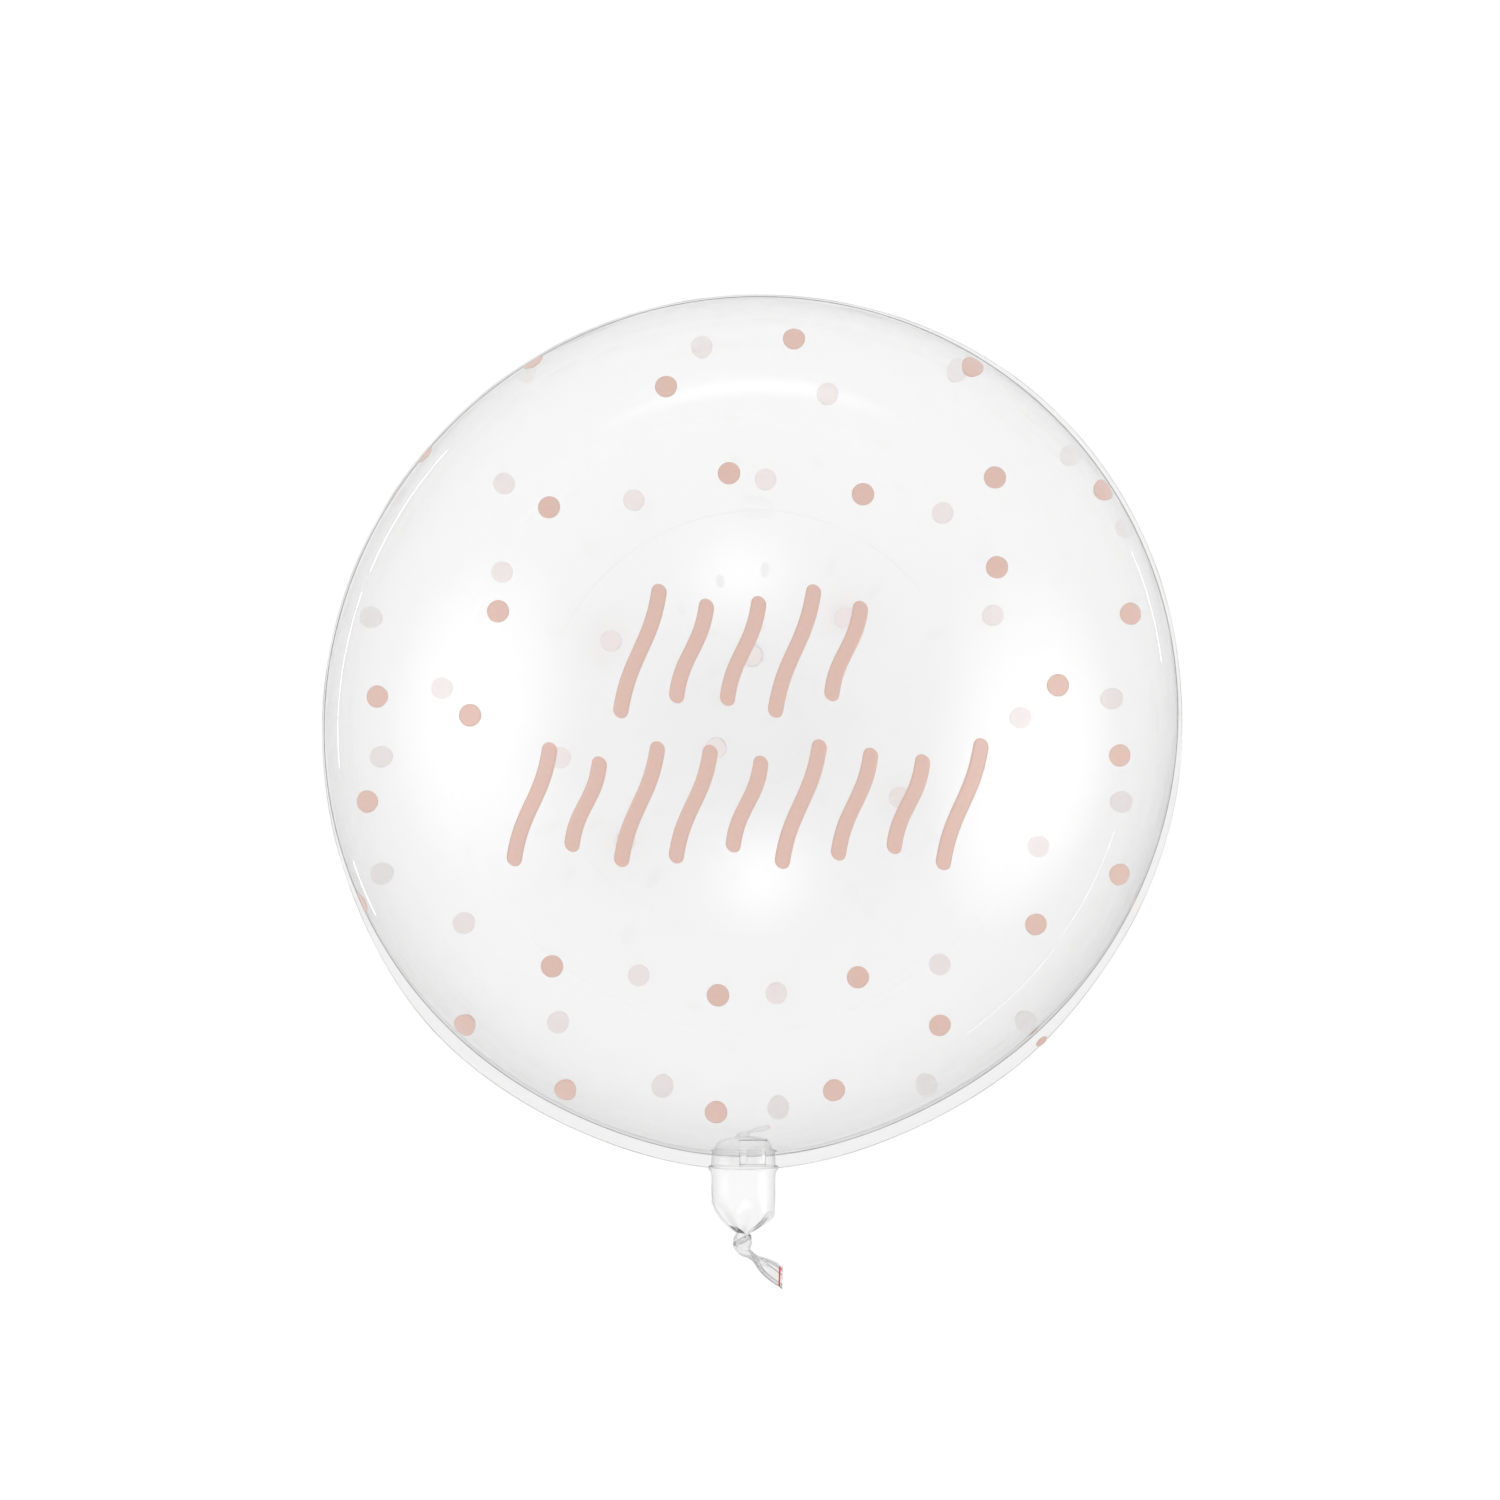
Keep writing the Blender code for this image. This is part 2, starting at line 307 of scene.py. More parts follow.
@dataclass(frozen=True)
class ClearFilm:
    """Stretched elastomer film, blown from flat sheet: clear and very glossy. It is see-through by plain
    values.
    Its colour carries painted shade: grey where it is seen edge-on, a touch greyer slowly towards one side
    and in a broad zone along the weld, and dark edge-on by the neck's right. Slow waves left by the
    stretching bend its reflections. A tint of white leaves a zone clear."""

    name: str
    level: float  # the height of the weld
    tint: str
    # The tints below are painted shade: greys mixed over the plain tint, not the film's own colour.
    slow_shade_tint: str = ""  # where it is left out, the same as the tint
    slow_shade_bearing: float = -65.0
    slow_shade_span: Pair = (-0.2, 0.2)
    edge_shade_tint: str = "E6E6E6"
    edge_power: float = 4.0
    broad_shade_tint: str = "FFFFFF"
    broad_shade_bearing: float = -120.0
    broad_shade_reach_mm: float = 85.0
    broad_shade_power: float = 4.0
    ball_span: Pair = (-0.2, 0.2)  # from one side of the ball to the other
    rim_shade_tint: str = "FFFFFF"
    rim_power: float = 6.0
    rim_bearing: float = -25.0
    rim_base: float = 0.20
    rim_bearing_power: float = 16.0
    ior: float = 1.46
    roughness: float = 0.015
    wave_mm: float = 60.0
    wave_height_mm: float = 0.12

    def towards(self, tree: Tree, place: Socket, bearing: float, span: Pair) -> Socket:
        """The share that grows evenly from 0 to 1 across a span of places towards a bearing."""
        turn = math.radians(bearing)
        aside = dotted(tree, place, (math.cos(turn), math.sin(turn), 0.0))
        return node(tree, "MapRange", {"From Min": span[0], "From Max": span[1]}, Value=aside).outputs[0]

    def material(self) -> Material:
        """Builds the film's material.

        The slow painted shade grows evenly across its span. The broad zone of painted shade is exp(-(rise /
        reach)^power) of the height over the weld, and fades evenly across the ball. The rim's painted shade
        comes in by a power of the facing weight, with all round a base share that grows to 1 by a high power
        of the place across the ball. The edge's painted shade comes in by a power of the facing weight too.
        """
        values = {"IOR": self.ior, "Transmission Weight": 1.0, "Roughness": self.roughness}
        material, tree, shader = principled(self.name, values)
        place = node(tree, "TexCoord").outputs["Object"]
        height = node(tree, "SeparateXYZ", Vector=place).outputs["Z"]
        rise = maths(tree, "ABSOLUTE", maths(tree, "SUBTRACT", height, self.level))
        # Painted shade: greyer slowly towards one side.
        slow = self.towards(tree, place, self.slow_shade_bearing, self.slow_shade_span)
        tone = tones(tree, slow, self.tint, self.slow_shade_tint or self.tint)
        # Painted shade: a broad grey zone along the weld that fades across the ball.
        far = maths(
            tree, "POWER", maths(tree, "MULTIPLY", rise, 1.0 / (self.broad_shade_reach_mm * MM)), self.broad_shade_power
        )
        broad = maths(tree, "EXPONENT", maths(tree, "MULTIPLY", far, -1.0))
        broad = maths(tree, "MULTIPLY", broad, self.towards(tree, place, self.broad_shade_bearing, self.ball_span))
        tone = tones(tree, broad, tone, self.broad_shade_tint, "MULTIPLY")
        # Painted shade: a dark rim where the film turns edge-on, darkest at one bearing.
        facing = node(tree, "LayerWeight", {"Blend": 0.5}).outputs["Facing"]
        peak = self.towards(tree, place, self.rim_bearing, self.ball_span)
        peak = maths(tree, "POWER", peak, self.rim_bearing_power)
        peak = maths(tree, "ADD", maths(tree, "MULTIPLY", peak, 1.0 - self.rim_base), self.rim_base)
        rim = maths(tree, "MULTIPLY", maths(tree, "POWER", facing, self.rim_power), peak)
        tone = tones(tree, rim, tone, self.rim_shade_tint, "MULTIPLY")
        # Painted shade: grey where the film is seen edge-on.
        tone = tones(tree, maths(tree, "POWER", facing, self.edge_power), tone, self.edge_shade_tint, "MULTIPLY")
        tree.links.new(tone, shader.inputs["Base Color"])
        bumped(tree, noise(tree, self.wave_mm, Detail=1.0), self.wave_height_mm)
        return material


@dataclass(frozen=True)
class WeldAndHighlightFilm:
    """The same film where hot bars have pressed two sheets into one: a little cloudy and grey, with the fine
    grain of the bars in its gloss. In plain white it also makes plates of painted highlight."""

    name: str
    tint: str
    roughness: float
    transmission: float
    grain_mm: float = 1.5
    grain_height_mm: float = 0.02
    grain_strength: float = 0.5

    def material(self) -> Material:
        """Builds the weld's material, with fine pressing marks in its surface."""
        values = {"Transmission Weight": self.transmission, "Roughness": self.roughness}
        material, tree, _ = principled(self.name, {"Base Color": linear(self.tint), **values})
        bumped(tree, noise(tree, self.grain_mm, Detail=2.0), self.grain_height_mm, self.grain_strength)
        return material


@dataclass(frozen=True)
class PrintedInk:
    """Flexible print on stretched film: satin, opaque, with the faint mottling of ink that has stretched."""

    name: str
    colour: str
    mottled: str
    roughness: float = 0.45
    gloss_drift: float = 0.08
    mottle_mm: float = 2.2

    def material(self) -> Material:
        """Builds the ink: its colour drifts between two near tones, and its gloss drifts with it."""
        material, tree, shader = principled(self.name, {})
        mottle = noise(tree, self.mottle_mm, Detail=3.0, Roughness=0.6)
        tree.links.new(tones(tree, mottle, self.colour, self.mottled), shader.inputs["Base Color"])
        drift = {"To Min": self.roughness - self.gloss_drift, "To Max": self.roughness + self.gloss_drift}
        tree.links.new(node(tree, "MapRange", drift, Value=mottle).outputs[0], shader.inputs["Roughness"])
        return material


@dataclass
class Ball:
    """The inflated ball: a sphere, pulled slightly oval and towards its neck, flat where it rests."""

    radius: float = 0.200
    oval: float = 0.0020
    oval_bearing: float = 40.0
    neck_draw: float = 0.0042
    neck_draw_spread: float = 13.0
    neck_bearing: float = -90.0
    rest_radius: float = 0.030
    film: float = 0.00025
    around: int = 260
    fine_reach: float = 16.0
    fine_rings: int = 40
    coarse_rings: int = 114
    rest_rounding: float = 0.0005
    neck_shift: float = -0.0036
    puckers: int = 13
    pucker_depth: float = 0.0005
    pucker_start: float = 4.6
    pucker_spread: float = 3.4

    @property
    def height(self) -> float:
        """The height of the ball's middle over the floor."""
        return math.sqrt(self.radius**2 - self.rest_radius**2)

    def outline(self, bearing: Array) -> Array:
        """The ball's radius at its middle's level: a circle, an oval term and a bell curve at the neck."""
        oval = self.oval * np.cos(np.radians(2.0 * (bearing - self.oval_bearing)))
        off = ((bearing - self.neck_bearing + 180.0) % 360.0 - 180.0) / self.neck_draw_spread
        return self.radius + oval + self.neck_draw * np.exp(-0.5 * off**2)

    def reach(self, plan: Array) -> Array:
        """The film's radius in directions whose level parts are given: the plain radius, plus the outline's
        stretch times the fourth power of the level part, so that it fades towards the top and the bottom."""
        bearing = np.degrees(np.arctan2(plan[..., 1], plan[..., 0]))
        level = plan[..., 0] ** 2 + plan[..., 1] ** 2
        return self.radius + level**2 * (self.outline(bearing) - self.radius)

    def surface(self, direction: Array, lift: Values = 0.0) -> Array:
        """Points of the film in given directions from the ball's middle.

        The lowest points are eased up to the floor by half of z + sqrt(z^2 + rounding^2).

        Args:
            direction: Unit vectors, in an array whose last axis is 3.
            lift: How far the points stand out of the film.

        Returns:
            Points in the balloon's frame.
        """
        points = direction * (self.reach(direction) + lift)[..., None]
        z = points[..., 2] + self.height
        points[..., 2] = 0.5 * (z + np.sqrt(z**2 + self.rest_rounding**2))
        return points

    def pucker(self, direction: Array) -> Array:
        """How far the film sinks in the creases that run out from the neck.

        With the angle p from the neck's axis and the turn q about it, the sinking is a bell curve of p times
        half of 1 - cos(n q + 0.8 sin 3q), which spaces the n creases unevenly.

        Args:
            direction: Unit vectors, in an array whose last axis is 3.

        Returns:
            Lifts of zero or less, in metres.
        """
        away = np.degrees(np.arccos(np.clip(-direction[..., 1], -1.0, 1.0)))
        turn = np.arctan2(direction[..., 2], direction[..., 0] - self.neck_shift / self.radius)
        crease = 0.5 - 0.5 * np.cos(self.puckers * turn + 0.8 * np.sin(3.0 * turn))
        return -self.pucker_depth * np.exp(-(((away - self.pucker_start) / self.pucker_spread) ** 2)) * crease

    def build(self, film: Material) -> None:
        """Builds the ball's film as a closed shell with a real wall.

        The grid's rings run round the neck's axis, closer together near the neck, where the film is creased.
        """
        near = np.linspace(0.0, self.fine_reach, self.fine_rings + 1)[1:]
        far = np.linspace(self.fine_reach, 180.0, self.coarse_rings + 1)[1:-1]
        away = np.radians(np.concatenate([near, far]))[:, None]
        turn = np.radians(np.arange(self.around) * 360.0 / self.around)
        parts = np.sin(away) * np.cos(turn), -np.cos(away), np.sin(away) * np.sin(turn)
        directions = np.stack(np.broadcast_arrays(*parts), axis=-1)
        poles = np.array([[0.0, -1.0, 0.0], [0.0, 1.0, 0.0]])
        shell = self.surface(directions, self.pucker(directions)).reshape(-1, 3)
        points = np.concatenate([shell, self.surface(poles)])
        quads = grid_faces(len(away), self.around, False, True)
        ring = np.arange(self.around)
        following = np.roll(ring, -1)
        last = (len(away) - 1) * self.around
        fans = ((following, ring, len(points) - 2), (ring + last, following + last, len(points) - 1))
        fans = np.concatenate([np.stack(np.broadcast_arrays(*corners), axis=1) for corners in fans])
        piece = mesh_piece("film_ball", points, quads, film, fans)
        wall(piece, self.film)
        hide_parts(NODE)


# How wide the skirt is, in mm, at bearings from +X towards +Y: full round the neck, half as wide up its
# right side, and a narrow rim elsewhere.
SKIRT_STATIONS = (
    (-136.0, 6.5), (-50.0, 6.5), (-38.0, 4.3), (-10.0, 3.4), (3.0, 1.9), (20.0, 2.4), (48.0, 2.7),
    (66.0, 1.7), (82.0, 1.2), (188.0, 1.2), (206.0, 2.6),
)


@dataclass
class Weld:
    """The welded seam round the ball's middle: a fine pressed line, and outside it a flat skirt of film
    that is widest round the neck and lies in slow ripples."""

    ball: Ball
    smoothing: float = 5.0
    thickness: float = 0.00035
    ripple: float = 0.0005
    inset: float = 0.0005
    line_width: float = 0.0006
    line_inset: float = 0.0001
    edge_width: float = 0.00030
    bead_until: float = 0.0025
    bead_fade: float = 0.0015
    bead_thinning: float = 0.85
    around: int = 720

    @property
    def bearings(self) -> Array:
        """The bearings of the ring's sections."""
        return np.arange(self.around) * 360.0 / self.around

    def width(self, bearing: Array) -> Array:
        """How far the skirt stands out: between its stations along straight lines, rounded off by the mean of
        five bearings close by."""
        stations = np.array(SKIRT_STATIONS)
        offsets = np.linspace(-self.smoothing, self.smoothing, 5)
        near = np.asarray(bearing)[..., None] + offsets
        return np.interp(near, stations[:, 0], stations[:, 1], period=360.0).mean(axis=-1) * MM

    def waves(self) -> Array:
        """The skirt's ripples, as rise at its edge for each bearing: two sines that don't keep step."""
        turn = np.radians(self.bearings)
        return self.ripple * (np.sin(23.0 * turn) + 0.6 * np.sin(37.0 * turn + 1.0)) / 1.6

    def ring(self, name: str, reach: Array, rise: Array, finish: Material) -> None:
        """Carries a closed section round the ball.

        Args:
            name: The piece's name.
            reach: Distance from the ball's middle, as bearings by corners of the section.
            rise: Height over the ball's middle, of the same shape.
            finish: Its material.
        """
        bearing = np.radians(self.bearings)[:, None]
        points = np.stack(
            [reach * np.cos(bearing), reach * np.sin(bearing), rise + self.ball.height], axis=-1
        )
        faces = grid_faces(points.shape[0], points.shape[1], True, True)
        piece = mesh_piece(name, points.reshape(-1, 3), faces, finish)

    def build(self, skirt: Material, pressed: Material) -> None:
        """Builds the skirt, from the ball to its cut edge, the pressed line along its root, and the fine bead
        that the hot cut leaves along its edge, which thins out where the skirt is wide."""
        root = self.ball.outline(self.bearings)[:, None]
        wide = self.width(self.bearings)[:, None]
        waves = self.waves()[:, None]
        half = self.thickness / 2.0
        share = np.array([0.0, 0.35, 0.7, 0.94, 1.0, 1.0, 0.94, 0.7, 0.35, 0.0])
        lift = half * np.array([1.0, 1.0, 1.0, 1.0, 0.5, -0.5, -1.0, -1.0, -1.0, -1.0])
        start = root - self.inset
        self.ring("weld_skirt", start + share * (wide + self.inset), lift + waves * share**2, skirt)
        turn = turns(10)
        line_reach = root + self.line_width / 2.0 * (1.0 + np.cos(turn)) - self.line_inset
        self.ring(
            "weld_line", line_reach, np.tile(self.line_width / 2.0 * np.sin(turn), (self.around, 1)), pressed
        )
        thin = np.clip((wide - self.bead_until) / self.bead_fade, 0.0, 1.0)
        edge = self.edge_width / 2.0 * (1.0 - self.bead_thinning * thin)
        self.ring("weld_edge", root + wide + edge * np.cos(turn) - edge, waves + edge * np.sin(turn), skirt)


@dataclass
class Neck:
    """The filling neck with its gather, knot and tail, and the flat valve sleeve inside its root."""

    ball: Ball
    shift: float = -0.0036
    width: float = 0.0300
    depth: float = 0.0270
    length: float = 0.0198
    standoff: float = 0.0050
    inset: float = 0.0030
    fine_length: float = 0.0080
    fine_rows: int = 56
    collar_out: float = 0.0009
    shoulder_start: float = 0.0062
    shoulder_out: float = 0.0016
    shoulder_fall: float = 0.0013
    gather_length: float = 0.0116
    gather_roundness: float = 1.7
    gather_slant: float = -8.5
    pleats: int = 7
    pleat_depth: float = 0.26
    waist: float = 0.0066
    knot_width: float = 0.0094
    knot_length: float = 0.0094
    knot_lean: float = -0.0008
    tail_root_width: float = 0.0042
    tail_end_width: float = 0.0106
    tail_length: float = 0.0200
    tail_thickness: float = 0.0036
    tail_turn: float = 54.0
    tail_twist: float = 140.0
    tail_folds: int = 9
    tail_fold_depth: float = 0.40
    tail_untwist: float = 2.4
    tail_cut_turn: float = 34.0
    wrap_place: float = 0.35
    wrap_thickness: float = 0.0026
    wrap_slant: float = 28.0
    wrap_flutes: int = 5
    wrap_flute_depth: float = 0.14
    wrap_points: tuple[int, int] = (72, 24)
    mark_inset: float = 0.0011
    mark_width: float = 0.0009
    mark_lifts: Pair = (0.00003, 0.00008)
    uneven: float = 0.35
    film: float = 0.00025
    around: int = 132
    sleeve_reach: Pair = (0.0125, 0.0005)
    sleeve_size: Pair = (0.0125, 0.0030)
    sleeve_mouth: Pair = (0.0010, 0.0020)
    sleeve_mouth_fall: float = 0.0020
    sleeve_shift: float = 0.0008
    sleeve_fold_depth: float = 0.25
    # Where the white plates of painted highlight lie over the sleeve.
    highlight_sides: tuple[Pair, ...] = ((-5.3, -2.2), (4.9, 6.8))  # in mm
    highlight_span: Pair = (-207.0, -200.2)  # in mm
    highlight_rise: float = 0.0019
    fold_tip: float = 0.12
    fold_pleats: int = 4
    fold_depth: float = 0.35
    inner_folds: tuple[tuple[Pair, Pair, float], ...] = (
        ((-10.6, -236.6), (-2.4, -240.6), 1.8),
        ((8.2, -232.6), (0.2, -239.8), 1.2),
    )  # where each starts and ends, and its width, in mm

    @property
    def collar(self) -> float:
        """How far along -Y the welded rim round the neck's root lies."""
        return float(self.ball.outline(np.array(self.ball.neck_bearing))) + self.standoff

    @property
    def gather(self) -> float:
        """How far along -Y the pleats start."""
        return self.collar + self.length

    @property
    def knot(self) -> float:
        """How far along -Y the waist above the knot lies."""
        return self.gather + self.gather_length

    def sections(
        self, centre: Array, size: Array, heading: Values,
        pleats: int = 0, depth: Values = 0.0, roll: Values = 0.0,
    ) -> Array:
        """Closed sections of gathered film, one for each row of the arrays.

        Each is an ellipse waved by its pleats, as 1 - depth * (1 - cos(pleats * angle)) / 2, with the angle
        swung and the depth varied by slower sines so that no two pleats are alike. It is rolled about its
        middle and turned so that its normal points along the heading, from -Y towards +X.

        Args:
            centre: Plan positions, as sections by 2.
            size: Width and depth, as sections by 2.
            heading: The way each section faces.
            pleats: Number of folds.
            depth: Share of the size that a fold takes.
            roll: Turn of each section about its own middle.

        Returns:
            Points, as sections by corners by 3.
        """
        angle = turns(self.around)[None, :]
        depths, headings, rolls = (
            np.broadcast_to(values, len(centre))[:, None] for values in (depth, heading, roll)
        )
        swung = pleats * angle + 0.8 * np.sin(2.0 * angle + 0.6)
        varied = 1.0 - self.uneven * (0.5 + 0.5 * np.sin(3.0 * angle + 1.1))
        wave = 1.0 - depths * (0.5 - 0.5 * np.cos(swung)) * varied
        wide = size[:, :1] / 2.0 * np.cos(angle) * wave
        deep = size[:, 1:] / 2.0 * np.sin(angle) * wave
        turn, lean = np.radians(headings), np.radians(rolls)
        sideways = wide * np.cos(lean) - deep * np.sin(lean)
        upwards = wide * np.sin(lean) + deep * np.cos(lean)
        x = centre[:, :1] + sideways * np.cos(turn)
        y = centre[:, 1:] + sideways * np.sin(turn)
        return np.stack([x, y, self.ball.height + upwards], axis=-1)

    def along(self, shift: float, reach: Array) -> Array:
        """Plan positions at one distance from the ball's axis, far out along -Y."""
        return np.stack([np.full_like(reach, shift), -reach], axis=1)

    def tube(self) -> Array:
        """The neck's tube from the ball to its first fold.

        Its rim is a bell curve of the way from the collar's middle, and its shoulder runs out to the skirt
        by a share exp(-d / fall) of the way d past the skirt's edge.
        """
        root = self.collar - self.standoff
        fine = np.linspace(root - self.inset, self.collar + self.fine_length, self.fine_rows)
        reach = np.append(fine, self.gather - self.fine_length)
        bead = self.collar_out * np.exp(-(((reach - self.collar) / (0.6 * self.collar_out)) ** 2))
        past = reach - root - self.shoulder_start
        shoulder = self.shoulder_out * np.exp(-np.abs(past) / self.shoulder_fall)
        centre = self.along(self.shift, reach)
        size = np.stack([self.width + 2.0 * (bead + shoulder), self.depth + 2.0 * bead], axis=1)
        return self.sections(centre, size, 0.0)

    def gathered(self) -> Array:
        """The pleated bag between the tube and the waist."""
        t = np.linspace(0.0, 1.0, 28)
        open_share = (1.0 - t**self.gather_roundness)[:, None]
        size = self.waist + (np.array([[self.width, self.depth]]) - self.waist) * open_share
        centre = self.along(self.shift, self.gather + self.gather_length * t)
        slant = self.gather_slant * (1.0 - t)
        return self.sections(centre, size, slant, self.pleats, self.pleat_depth * np.sqrt(t))

    def tail_root(self) -> Pair:
        """The plan point where the tail leaves the knot."""
        return self.shift + self.tail_root_width / 2.0, -self.knot - self.knot_length

    def knotted(self) -> Array:
        """The wrung lump of the knot."""
        end_x, end_y = self.tail_root()
        t = np.linspace(0.05, 1.0, 26)
        ends = self.waist + (self.tail_root_width - self.waist) * t
        swell = np.sin(math.pi * t).clip(0.0) ** 0.8
        width = ends + (self.knot_width - ends) * swell
        x = self.shift + self.knot_lean * swell + (end_x - self.shift) * t**2
        y = -self.knot + (end_y + self.knot) * t
        centre, size = np.stack([x, y], axis=1), np.stack([width, width], axis=1)
        heading, twist = self.tail_turn * t**2, -self.tail_twist * t
        return self.sections(centre, size, heading, self.pleats, self.pleat_depth / 2.0, twist)

    def tailed(self, t: Array, lift: float = 0.0) -> Array:
        """The wrung, folded tail that spreads to its cut end, which is cut askew.

        Args:
            t: Shares of the tail's length.
            lift: How far the points stand out of the film.

        Returns:
            Points, as sections by corners by 3.
        """
        turn = math.radians(self.tail_turn)
        root_x, root_y = self.tail_root()
        width = self.tail_root_width + (self.tail_end_width - self.tail_root_width) * t**0.7
        reach = self.tail_length * t
        centre = np.stack([root_x + reach * math.sin(turn), root_y - reach * math.cos(turn)], axis=1)
        size = np.stack([width, np.full_like(t, self.tail_thickness)], axis=1) + 2.0 * lift
        heading = self.tail_turn + self.tail_cut_turn * np.clip((t - 0.4) / 0.5, 0.0, 1.0) ** 2
        twist = -self.tail_twist * (1.0 - t) ** self.tail_untwist
        return self.sections(centre, size, heading, self.tail_folds, self.tail_fold_depth, twist)

    def tube_piece(self, name: str, points: Array, film: Material) -> None:
        """Makes a run of sections into a piece of film with a real wall."""
        faces = grid_faces(points.shape[0], points.shape[1], False, True)
        piece = mesh_piece(name, points.reshape(-1, 3), faces, film)
        wall(piece, self.film)

    def sleeve(self) -> Array:
        """The flat valve sleeve: a slim tube from the collar into the ball, wider at its mouth."""
        start, end = self.sleeve_reach
        reach = self.collar - np.linspace(start, end, 14)
        mouth = np.exp(-(start + reach - self.collar) / self.sleeve_mouth_fall)
        centre = self.along(self.sleeve_shift, reach)
        size = np.array(self.sleeve_size) + np.array(self.sleeve_mouth) * mouth[:, None]
        return self.sections(centre, size, 0.0, 2, self.sleeve_fold_depth)

    def highlight_plates(self, film: Material) -> None:
        """Plates of painted highlight along the sleeve's two edges: thin white closed plates over it, for the
        gloss there.
        """
        sides = [
            np.meshgrid(np.linspace(*side, 5), np.linspace(*self.highlight_span, 9)) for side in self.highlight_sides
        ]
        plan = np.stack([np.stack(side, axis=-1) for side in sides]) * MM
        low = self.ball.height + self.highlight_rise
        piece = plates("valve_painted_highlights", at_level(plan, low), at_level(plan, low + self.film), film)

    def folds(self, film: Material) -> None:
        """The two tight inner folds by the waist: slim rolls of film that swell midway, whose dark grey is
        painted shade.
        """
        for number, (start, end, width) in enumerate(self.inner_folds):
            t = np.linspace(0.02, 0.98, 20)[:, None]
            centre = (np.array(start) + (np.array(end) - np.array(start)) * t) * MM
            size = width * MM * (self.fold_tip + (1.0 - self.fold_tip) * np.sin(math.pi * t)) * np.ones(2)
            heading = math.degrees(math.atan2(end[0] - start[0], start[1] - end[1]))
            points = self.sections(centre, size, heading, self.fold_pleats, self.fold_depth)
            self.tube_piece(f"inner_fold_{number}", points, film)

    def wrap(self, film: Material) -> None:
        """The slanted turn of film tied round the knot: a ring whose round section is fluted by its folds."""
        middle = np.array(
            [self.shift + self.knot_lean / 2.0, -self.knot - self.wrap_place * self.knot_length]
        )
        slant = math.radians(self.wrap_slant)
        rows, columns = self.wrap_points
        turn = turns(rows)[:, None]
        round_tube = turns(columns)[None, :]
        flutes = 0.5 - 0.5 * np.cos(self.wrap_flutes * round_tube + 2.0 * turn)
        fluted = self.wrap_thickness / 2.0 * (1.0 - self.wrap_flute_depth * flutes)
        reach = (self.knot_width - self.wrap_thickness) / 2.0 + fluted * np.cos(round_tube)
        along = fluted * np.sin(round_tube)
        sideways = reach * np.cos(turn)
        x = middle[0] + sideways * math.cos(slant) - along * math.sin(slant)
        y = middle[1] + sideways * math.sin(slant) + along * math.cos(slant)
        points = np.stack([x, y, self.ball.height + reach * np.sin(turn)], axis=-1)
        piece = mesh_piece("knot_wrap", points.reshape(-1, 3), grid_faces(rows, columns, True, True), film)

    def mark(self, red: Material) -> None:
        """The red mark printed across the tail, just short of its cut end."""
        end = self.tail_length - self.mark_inset
        t = np.linspace(end - self.mark_width, end, 4) / self.tail_length
        upper = slice(2, self.around // 2 - 1)
        low, high = (self.tailed(t, lift)[:, upper] for lift in self.mark_lifts)
        piece = plates("tail_mark", low[None], high[None], red)

    def build(
        self, film: Material, folded: Material, sleeve: Material, highlight_film: Material, red: Material
    ) -> None:
        """Builds neck, gather, knot and tail as one run of film, then folds, sleeve, painted highlights, wrap
        and mark.
        """
        run = [self.tube(), self.gathered(), self.knotted(), self.tailed(np.linspace(0.08, 1.0, 40))]
        self.tube_piece("film_neck", np.concatenate(run), film)
        self.folds(folded)
        self.tube_piece("valve_sleeve", self.sleeve(), sleeve)
        self.highlight_plates(highlight_film)
        self.wrap(film)
        self.mark(red)


# The print's dots, as pixels of the photograph: first those of the printed side, then those of the back that
# show through. Away from the strokes the back carries the front's dots, mirrored.
FRONT_DOTS = (
    (794, 339), (666, 387), (973, 366), (729, 474), (863, 495), (995, 478), (1104, 490), (549, 508),
    (997, 568), (498, 612), (1131, 614), (377, 697), (1058, 686), (470, 716), (1120, 756), (367, 802),
    (1120, 875), (1036, 925), (552, 967), (858, 978), (718, 996), (940, 1026), (464, 1026), (565, 1091),
    (834, 1091), (716, 1113), (533, 362), (418, 449), (355, 906),
)
BACK_OWN_DOTS = (
    (611, 640), (845, 617), (716, 747), (900, 797), (625, 840), (560, 757), (752, 655),
    (1039, 846), (1126, 527),
)
BACK_MIRROR = (747.5, 780.0)  # the line and the level that the mirrored dots are scaled about
BACK_SCALE = 0.985


